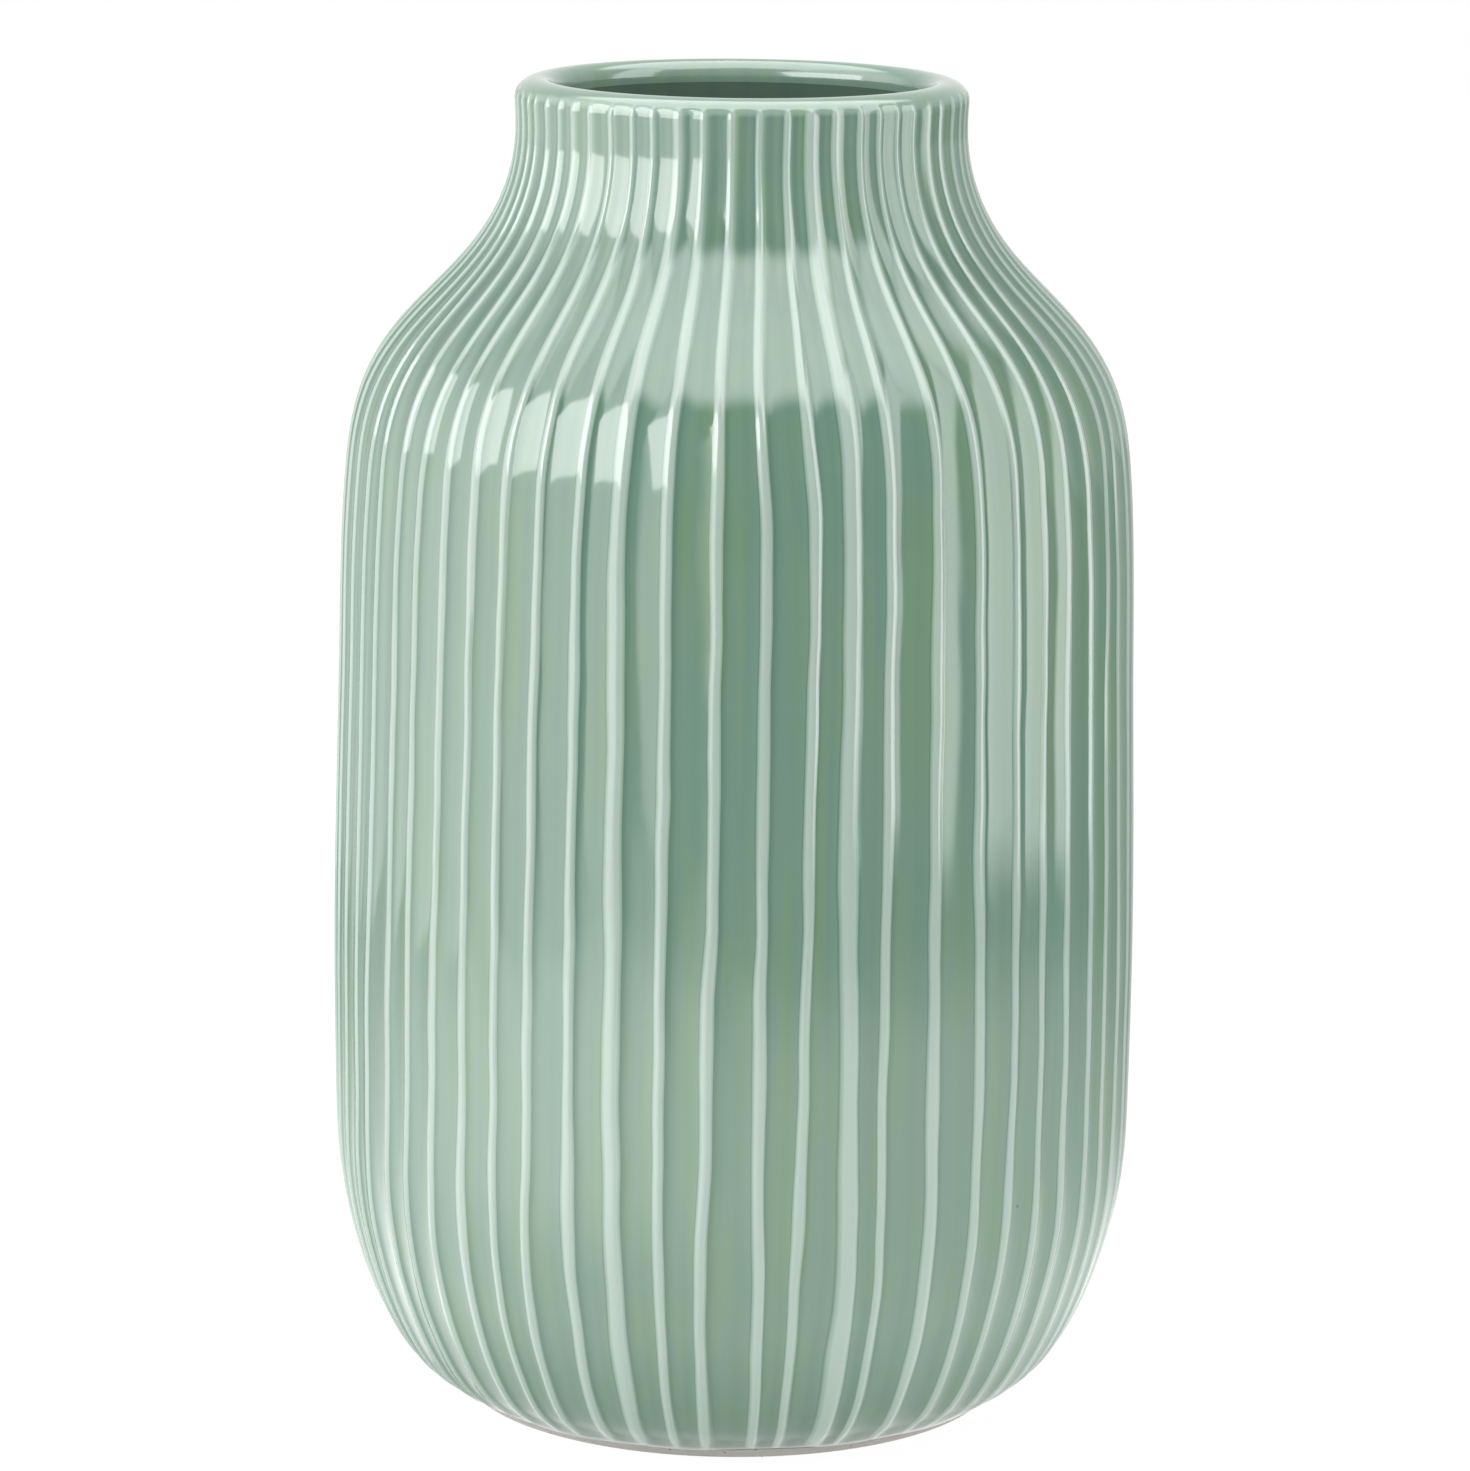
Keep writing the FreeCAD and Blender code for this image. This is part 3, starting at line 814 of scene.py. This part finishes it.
# %% Turn it about the axis with throwing marks
lining_sides, mark_depth, mark_pitch = 180, 0.18 * mm, 9 * mm
even_share, wave_share, spiral_sway, sway_pitch = 0.6, 0.4, 0.8, 23 * mm
floor_fade, mouth_fade = (16 * mm, 45 * mm), (215 * mm, 236 * mm)


def turned_mesh(name, outline_points, sides, wander):
    """A closed turn of an outline. wander gives how far a point moves towards the axis."""
    points, faces = [(0, 0, outline_points[0].y)], []
    for r, z in outline_points[1:]:
        for i in range(sides):
            bearing = 2 * math.pi * i / sides
            near = r - wander(r, z, bearing)
            points.append((near * math.sin(bearing), -near * math.cos(bearing), z))
    for i in range(sides):
        faces.append((0, 1 + i, 1 + (i + 1) % sides))
    for ring in range(len(outline_points) - 2):
        low, high = 1 + ring * sides, 1 + (ring + 1) * sides
        for i in range(sides):
            faces.append((low + i, high + i, high + (i + 1) % sides, low + (i + 1) % sides))
    mesh = bpy.data.meshes.new(name)
    mesh.from_pydata(points, [], faces)
    mesh.shade_smooth()
    piece = bpy.data.objects.new(name, mesh)
    bpy.context.scene.collection.objects.link(piece)
    return piece


def throwing_marks(r, z, bearing):
    """A shallow spiral that fades out towards the floor and the mouth."""
    fade = smooth_step(*floor_fade, z) * (1 - smooth_step(*mouth_fade, z))
    sway = spiral_sway * math.sin(z / sway_pitch)
    spiral = math.sin(2 * math.pi * z / mark_pitch + bearing + sway)
    return mark_depth * fade * (even_share + spiral * wave_share)


lining = turned_mesh("glazed_lining", inside, lining_sides, throwing_marks)
print("lining:", len(lining.data.vertices), "points")

# %% [markdown]
# The lining needs its own depth of glaze, and faces that look into the vase. Its colours are painted
# darker than outside, as painted shade, because little light gets in through the mouth.

# %% Glaze the lining
pool_on_floor, pool_up_wall, lining_painted_shade = 0.95, 0.80, 0.5
pool_fade = (10 * mm, 60 * mm)
depths = lining.data.attributes.new("pool", "FLOAT", "POINT")
for point, value in zip(lining.data.vertices, depths.data):
    value.value = mix(pool_on_floor, pool_up_wall, smooth_step(*pool_fade, point.co.z))
lining_normals = bmesh.new()
lining_normals.from_mesh(lining.data)
bmesh.ops.recalc_face_normals(lining_normals, faces=lining_normals.faces)
lining_normals.faces.ensure_lookup_table()
if lining_normals.faces[0].normal.z < 0:
    bmesh.ops.reverse_faces(lining_normals, faces=lining_normals.faces)
lining_normals.to_mesh(lining.data)
lining_normals.free()
lining.data.materials.append(celadon("celadon_inside", stored_pool, lining_painted_shade))
print("lining is glazed, faces:", len(lining.data.polygons))

# %% [markdown]
# ## Bare clay and the glazed base
#
# The foot was wiped clean before firing, or the vase would have stuck to the kiln shelf. What shows
# is bare stoneware: pale, dry and slightly gritty, with a faint warm line next to the glaze. The
# solids of the clay and of the glaze under the base already have the right shape, so they stay and
# only get a finish. They hold no stored depth, so the glaze under the base has a middling one that
# noise changes a little.

# %% Finishes for the clay and the base
clay_tones = ((0.3, (0.68, 0.635, 0.61)), (0.7, (0.84, 0.80, 0.78)))
speck_colour, flush_colour = (0.24, 0.17, 0.12, 1), (0.50, 0.36, 0.26, 1)
clay_grit, clay_clouds = ((1, 1, 1), 900, 6.0), ((1, 1, 1), 40)
speck_count, speck_size = 420.0, 0.10
flush_from, flush_whole_at, flush_most = 0.9 * mm, 2.6 * mm, 0.3
clay_roughness, grit_roughness = 0.72, 0.2
grit_bump, grit_relief = 0.5, 0.15 * mm
base_clouds, base_pool, base_pool_swing = ((1, 1, 1), 60), 0.35, 0.3


def bare_clay(name):
    """Fired clay: matt, fine grit, a few iron specks, and a warm flush by the glaze line."""
    finish, tree, shader = new_finish(name)
    grit, clouds = noise(tree, *clay_grit), noise(tree, *clay_clouds)
    tone = calc(tree, "ADD", calc(tree, "MULTIPLY", grit, 0.5), calc(tree, "MULTIPLY", clouds, 0.5))
    colour = colour_stops(tree, tone, clay_tones)
    speck, _ = dots(tree, speck_count, speck_size)
    specked = tinted(tree, speck, colour, speck_colour)
    where = put(tree, "ShaderNodeSeparateXYZ", {0: put(tree, "ShaderNodeTexCoord").outputs["Object"]})
    near_glaze = put(tree, "ShaderNodeMapRange", {
        "Value": where.outputs["Z"], "From Min": flush_from, "From Max": flush_whole_at,
        "To Min": 0.0, "To Max": flush_most,
    })
    flushed = tinted(tree, near_glaze.outputs[0], specked, flush_colour)
    tree.links.new(flushed, shader.inputs["Base Color"])
    roughness = calc(tree, "ADD", clay_roughness, calc(tree, "MULTIPLY", grit, grit_roughness))
    tree.links.new(roughness, shader.inputs["Roughness"])
    bump = put(tree, "ShaderNodeBump", {"Strength": grit_bump, "Distance": grit_relief, "Height": grit})
    tree.links.new(bump.outputs[0], shader.inputs["Normal"])
    return finish


def even_pool(tree):
    """One depth all over, with slight clouds."""
    clouds = noise(tree, *base_clouds)
    return calc(tree, "ADD", base_pool, calc(tree, "MULTIPLY", clouds, base_pool_swing))


def refinish(node, finish):
    """Gives a solid of the measured model another finish, in all its slots."""
    for i in range(len(node.material_slots)):
        node.material_slots[i].material = finish


refinish(nodes["stoneware_body"], bare_clay("bare_stoneware"))
refinish(nodes["base_glaze"], celadon("celadon_base", even_pool))
print("finished the clay and the base")

# %% [markdown]
# ## Tie the pieces to the model
#
# Each dressed piece moves with the one body, and the solid that it stands for is hidden. The vase
# has no moving part, so there is one body.

# %% Ride, and hide the solids that are replaced
for piece, node, slot in (
    (fluted_glaze, "outer_glaze", "celadon_outside"), (lining, "inner_glaze", "celadon_inside"),
):
    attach(piece, "root")
    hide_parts(node)
print("tied", fluted_glaze.name, "and", lining.name)

# %% [markdown]
# ## The camera
#
# The photograph was taken with a long lens from a little above the rim. Its place, pitch and focal
# length were worked out from the outline, the mouth's ellipse and the foot's, and it is turned by
# half a degree, as a hand-held or cropped picture is.

# %% Set the camera
picture_side, focal_pixels, shift_pixels, sensor = 1471, 6079, -0.64, 36
camera_back, camera_up = 4.5 * height, 1.4373 * height
pitch, roll = math.radians(11.725), 0.0101

camera_data = bpy.data.cameras.new("camera")
camera_data.sensor_width = sensor
camera_data.lens = focal_pixels / picture_side * sensor
camera_data.shift_x = shift_pixels / picture_side
camera = bpy.data.objects.new("camera", camera_data)
camera.matrix_world = (
    Matrix.Translation((0, -camera_back, camera_up))
    @ Matrix.Rotation(math.pi / 2 - pitch, 4, "X") @ Matrix.Rotation(roll, 4, "Z")
)
bpy.context.scene.collection.objects.link(camera)
bpy.context.scene.camera = camera
print("lens", round(camera_data.lens, 1), "mm, distance", round(camera_back, 3), "m")

# %% [markdown]
# ## Table and background
#
# The picture has a plain white background. The world is white where the camera or a mirror-like ray
# looks straight at it, and a softer grey where it only fills the shadows.
#
# The table is pale. The camera sees it almost white, with a trace of the vase's shadow left in it.
#
# From the shoulder down the glossy wall mirrors mostly the table, so what mirror-like rays see of it
# is painted light, worked out apart. They see it bright in front of the vase, and further out on the
# left, with a painted patch of light at the front left, where a window's light would fall. They see
# it darker at the back right, and close round the foot in a painted shadow of the vase. Diffuse rays
# see a little of the same glow, as painted bounce light on the foot and the low wall.

# %% Make the table
table_radius, table_colour, left_stretch = 3.0, (0.85, 0.85, 0.84, 1), 0.9
seen_glow, seen_glow_share, painted_bounce_share = 1.11, 0.85, 0.12
plain_mirrored, light_patch_place = 1.15, (-0.30, -0.22, 0)

table_mesh = bpy.data.meshes.new("table_top")
shape = bmesh.new()
bmesh.ops.create_circle(shape, cap_ends=True, radius=table_radius, segments=128)
shape.to_mesh(table_mesh)
shape.free()
table = bpy.data.objects.new("table_top", table_mesh)
bpy.context.scene.collection.objects.link(table)

pale_table, tree = empty_finish("pale_table")
rays = put(tree, "ShaderNodeLightPath").outputs
spot = put(tree, "ShaderNodeTexCoord").outputs["Object"]
from_vase = put(tree, "ShaderNodeVectorMath", {0: spot}, operation="LENGTH").outputs["Value"]
from_patch = put(tree, "ShaderNodeVectorMath", {0: spot, 1: light_patch_place}, operation="DISTANCE")
place = put(tree, "ShaderNodeSeparateXYZ", {0: spot}).outputs
leftward = calc(tree, "MINIMUM", place["X"], 0.0)
reach = calc(tree, "ADD", from_vase, calc(tree, "MULTIPLY", leftward, left_stretch))


def fading(value, whole_at, gone_at, most):
    """A number that is most up to one place and fades to nothing at another."""
    return put(tree, "ShaderNodeMapRange", {
        "Value": value, "From Min": gone_at, "From Max": whole_at, "To Min": 0.0, "To Max": most,
    }, interpolation_type="SMOOTHSTEP").outputs["Result"]


# Painted light and shadow on the table: a bright patch at the front left, a shadow round the foot.
painted_light_patch = fading(from_patch.outputs["Value"], whole_at=0.08, gone_at=0.34, most=2.2)
around = fading(reach, whole_at=0.34, gone_at=0.56, most=1.4)
not_behind = fading(place["Y"], whole_at=0.0, gone_at=0.25, most=1.0)
on_right = fading(place["X"], whole_at=0.20, gone_at=0.0, most=1.0)
on_back = fading(place["Y"], whole_at=0.10, gone_at=-0.12, most=0.42)
painted_foot_shadow = fading(from_vase, whole_at=0.05, gone_at=0.10, most=0.50)

in_front = calc(tree, "MULTIPLY", around, not_behind)
mirrored = calc(tree, "ADD", calc(tree, "ADD", plain_mirrored, in_front), painted_light_patch)
back_right = calc(tree, "MULTIPLY", on_right, on_back)
mirrored = calc(tree, "MULTIPLY", mirrored, calc(tree, "SUBTRACT", 1.0, back_right))
mirrored = calc(tree, "MULTIPLY", mirrored, calc(tree, "SUBTRACT", 1.0, painted_foot_shadow))

matt = put(tree, "ShaderNodeBsdfDiffuse", {"Color": table_colour})
strength = blend_of(tree, rays["Is Camera Ray"], mirrored, seen_glow)
glow = put(tree, "ShaderNodeEmission", {"Strength": strength})
glow_share = calc(tree, "MULTIPLY", rays["Is Camera Ray"], seen_glow_share)
glow_share = calc(tree, "ADD", glow_share, rays["Is Glossy Ray"])
# Diffuse rays see a little of the glow too: painted bounce light on the foot and the low wall.
painted_bounce = calc(tree, "MULTIPLY", rays["Is Diffuse Ray"], painted_bounce_share)
glow_share = calc(tree, "ADD", glow_share, painted_bounce, clamp=True)
both = put(tree, "ShaderNodeMixShader", {0: glow_share, 1: matt.outputs[0], 2: glow.outputs[0]})
put(tree, "ShaderNodeOutputMaterial", {"Surface": both.outputs[0]})
table_mesh.materials.append(pale_table)
print("the table is", 2 * table_radius, "m wide")

# %% Make the world
fill, white = 0.5, 1.0
world = bpy.data.worlds.new("studio")
world.use_nodes = True
tree = world.node_tree
tree.nodes.clear()
rays = put(tree, "ShaderNodeLightPath").outputs
mirrored_or_through = calc(tree, "MAXIMUM", rays["Is Glossy Ray"], rays["Is Transmission Ray"])
seen = calc(tree, "MAXIMUM", rays["Is Camera Ray"], mirrored_or_through)
strength = blend_of(tree, seen, fill, white)
surroundings = put(tree, "ShaderNodeBackground", {"Color": (1, 1, 1, 1), "Strength": strength})
put(tree, "ShaderNodeOutputWorld", {"Surface": surroundings.outputs[0]})
bpy.context.scene.world = world
print("the world is", world.name)

# %% [markdown]
# ## The lamps
#
# Soft lamps on the left, the right and above light the vase evenly, so that a colour renders about
# as it is written. They aren't mirrored, because what the glaze mirrors is made apart, below.

# %% Lamps that light the vase
middle = Vector((0, 0, 0.13))


def aimed(piece, where, aim):
    """Puts a lamp or panel at a place and turns its lit side to another place."""
    piece.location = where
    piece.rotation_euler = (Vector(aim) - Vector(where)).to_track_quat("-Z", "Y").to_euler()
    piece.visible_camera = False
    bpy.context.scene.collection.objects.link(piece)


def away(bearing, rise, distance):
    """The place at a bearing from the front and an angle above level, seen from the vase."""
    b, e = math.radians(bearing), math.radians(rise)
    return (
        distance * math.sin(b) * math.cos(e), -distance * math.cos(b) * math.cos(e),
        middle.z + distance * math.sin(e),
    )


def soft_lamp(name, where, size, brightness):
    """A square lamp that lights surfaces and isn't mirrored."""
    data = bpy.data.lights.new(name, "AREA")
    data.size = size
    data.energy = brightness * math.pi * size * size
    lamp = bpy.data.objects.new(name, data)
    aimed(lamp, where, middle)
    lamp.visible_glossy = False


soft_lamp("lamp_left", away(-62, 30, 1.6), size=0.8, brightness=4.2)
soft_lamp("lamp_right", away(66, 24, 1.6), size=0.8, brightness=2.6)
soft_lamp("lamp_above", away(0, 80, 1.4), size=0.9, brightness=2.4)

# %% [markdown]
# ## What the gloss mirrors
#
# What the eye reads as gloss is the shapes that the glaze mirrors. So panels with soft edges stand
# round the vase that only mirror-like rays see: a wide one on the table at the left, a narrower one
# at the right, one overhead, and a small bright window close to the left shoulder, whose reflection
# sits as a bright patch in one flute after another. Between them, in front, the room stays darker.
#
# A photographer's panels would also light the vase. These light nothing and cast no shadow, so the
# gloss can be set without changing the colours.

# %% Panels that only the gloss sees
def mirrored_panel(name, where, aim, width, tall, brightness, side_fade, end_fade):
    """A glowing panel whose light fades out towards its sides and its ends."""
    x, y = width / 2, tall / 2
    mesh = bpy.data.meshes.new(name)
    mesh.from_pydata([(-x, -y, 0), (x, -y, 0), (x, y, 0), (-x, y, 0)], [], [(0, 3, 2, 1)])
    panel = bpy.data.objects.new(name, mesh)
    aimed(panel, where, aim)
    panel.visible_diffuse = panel.visible_shadow = False

    glow, tree = empty_finish(name)
    spot = put(tree, "ShaderNodeTexCoord").outputs["Object"]
    place = put(tree, "ShaderNodeSeparateXYZ", {0: spot}).outputs
    share = 1.0
    for off_centre, half, fade in ((place["X"], x, side_fade), (place["Y"], y, end_fade)):
        left = put(tree, "ShaderNodeMapRange", {
            "Value": calc(tree, "ABSOLUTE", off_centre), "From Min": half, "From Max": half - fade,
            "To Min": 0.0, "To Max": 1.0,
        }, interpolation_type="SMOOTHSTEP").outputs["Result"]
        share = calc(tree, "MULTIPLY", share, left)
    light = put(tree, "ShaderNodeEmission", {"Strength": brightness})
    clear = put(tree, "ShaderNodeBsdfTransparent")
    both = put(tree, "ShaderNodeMixShader", {0: share, 1: clear.outputs[0], 2: light.outputs[0]})
    put(tree, "ShaderNodeOutputMaterial", {"Surface": both.outputs[0]})
    mesh.materials.append(glow)


for name, where, aim, width, tall, brightness, side_fade, end_fade in (
    ("mirrored_left", (-0.46, -0.38, 0.42), (0, -0.38, 0.42), 1.76, 0.92, 3.8, 0.55, 0.05),
    ("mirrored_right", (0.50, -0.14, 0.42), (0, -0.14, 0.42), 0.38, 0.82, 4.8, 0.07, 0.03),
    ("mirrored_above", (0, 0, 1.1), (0, 0.001, 0), 1.90, 1.60, 5.5, 0.40, 0.30),
    ("mirrored_window", away(-57, 30, 0.4), middle, 0.37, 0.22, 9.0, 0.008, 0.008),
):
    mirrored_panel(name, where, aim, width, tall, brightness, side_fade, end_fade)
bpy.context.scene.view_settings.view_transform = "Standard"
